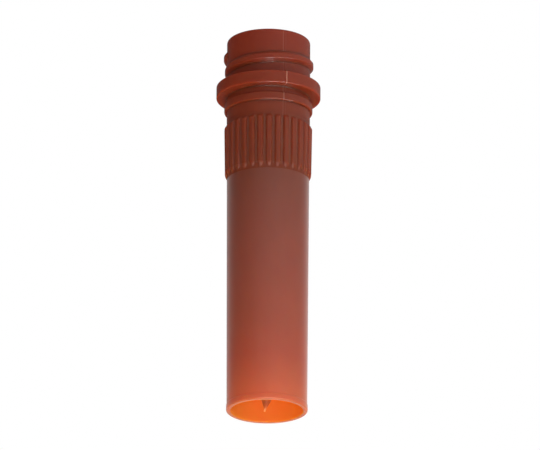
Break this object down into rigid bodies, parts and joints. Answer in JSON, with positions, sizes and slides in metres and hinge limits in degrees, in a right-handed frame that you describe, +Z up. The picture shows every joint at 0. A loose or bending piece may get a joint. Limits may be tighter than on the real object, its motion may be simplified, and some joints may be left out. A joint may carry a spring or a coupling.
{
  "type": "microcentrifuge tube",
  "caption": "Amber self-standing screw-cap micro tube, shown open, with a conical bottom inside a skirt, ribbed grip, collar, bead and threaded neck.",
  "frame": {"origin": "centre of the base ring, on the surface that the tube stands on", "axes": "+Z up the tube's axis to the mouth; -Y is the front, and the moulding seam stands 20.5 degrees from it towards +X"},
  "size_m": [0.0128, 0.0128, 0.0478],
  "materials": {
    "amber_polypropylene": "satin translucent red-brown moulded polypropylene, glossier on the neck"
  },
  "bodies": {
    "root": {"skirt": "amber_polypropylene", "conical_bottom": "amber_polypropylene", "gate_pip": "amber_polypropylene", "barrel": "amber_polypropylene", "grip_ribs": "amber_polypropylene", "shoulder": "amber_polypropylene", "retaining_bead": "amber_polypropylene", "collar": "amber_polypropylene", "neck": "amber_polypropylene", "sealing_lip": "amber_polypropylene", "cap_thread": "amber_polypropylene"}
  },
  "joints": []
}
